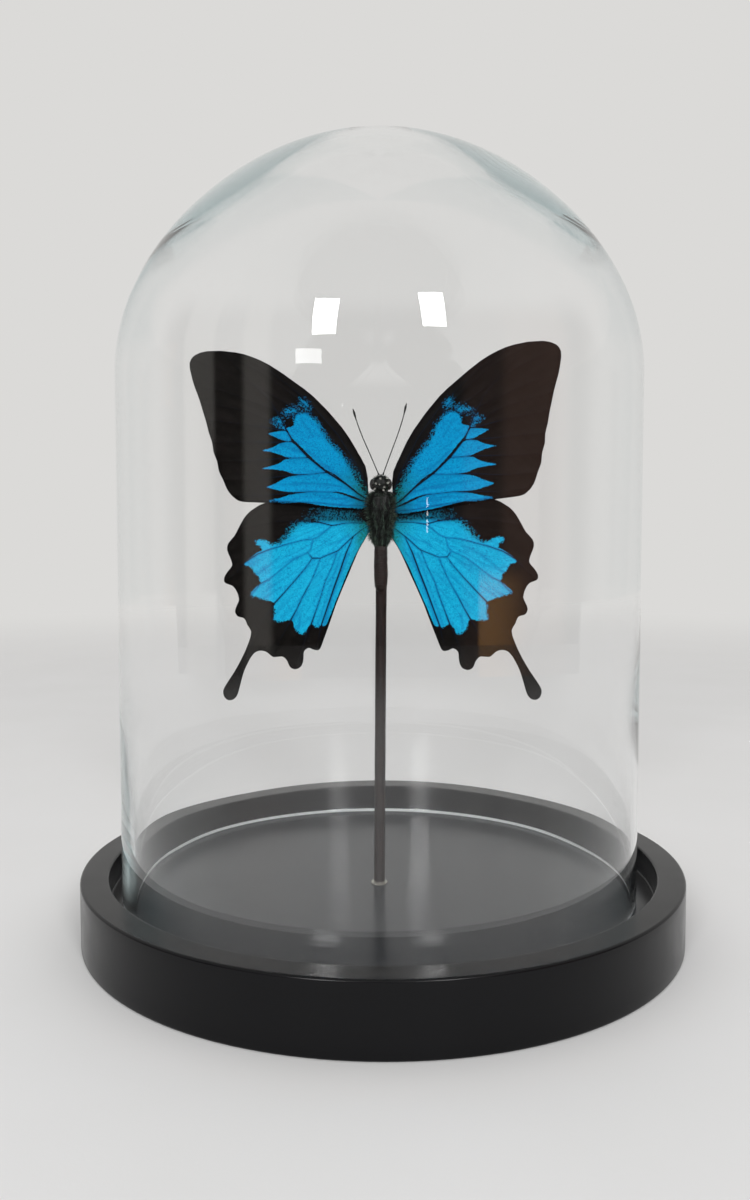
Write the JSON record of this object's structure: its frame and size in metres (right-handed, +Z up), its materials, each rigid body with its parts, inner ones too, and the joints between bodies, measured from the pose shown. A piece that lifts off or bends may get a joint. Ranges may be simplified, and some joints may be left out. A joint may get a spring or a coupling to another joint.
{
  "type": "insect in glass dome",
  "caption": "Spread blue and black swallowtail butterfly on a slim dark rod, under a clear glass dome that rests inside the rim of a round black base.",
  "frame": {"origin": "middle of the base's flat underside", "axes": "+Z up the dome; the insect's back and the upper side of its wings face -Y; +X to the viewer's right"},
  "size_m": [0.17, 0.17, 0.2212],
  "materials": {
    "base_paint": "turned wood under satin black paint",
    "dome_glass": "clear blown glass",
    "rod_stain": "dark satin dowel",
    "clear_glue": "clear set glue",
    "black_body": "black chitin under short hair",
    "brown_body": "dry brown chitin",
    "eye": "smooth dark compound eye",
    "wing_scales": "velvety black scales with shining blue patches"
  },
  "bodies": {
    "root": {"base": "base_paint", "dome": "dome_glass", "rod": "rod_stain", "foot_glue": "clear_glue", "body_glue": "clear_glue", "thorax": "black_body", "abdomen": "brown_body", "head": "black_body", "eye_left": "eye", "eye_right": "eye", "antenna_left": "black_body", "antenna_right": "black_body", "proboscis": "brown_body", "forewing_left": "wing_scales", "forewing_right": "wing_scales", "hindwing_left": "wing_scales", "hindwing_right": "wing_scales", "leg_front_left": "black_body", "leg_front_right": "black_body", "leg_mid_left": "black_body", "leg_mid_right": "black_body", "leg_hind_left": "black_body", "leg_hind_right": "black_body"}
  },
  "joints": []
}
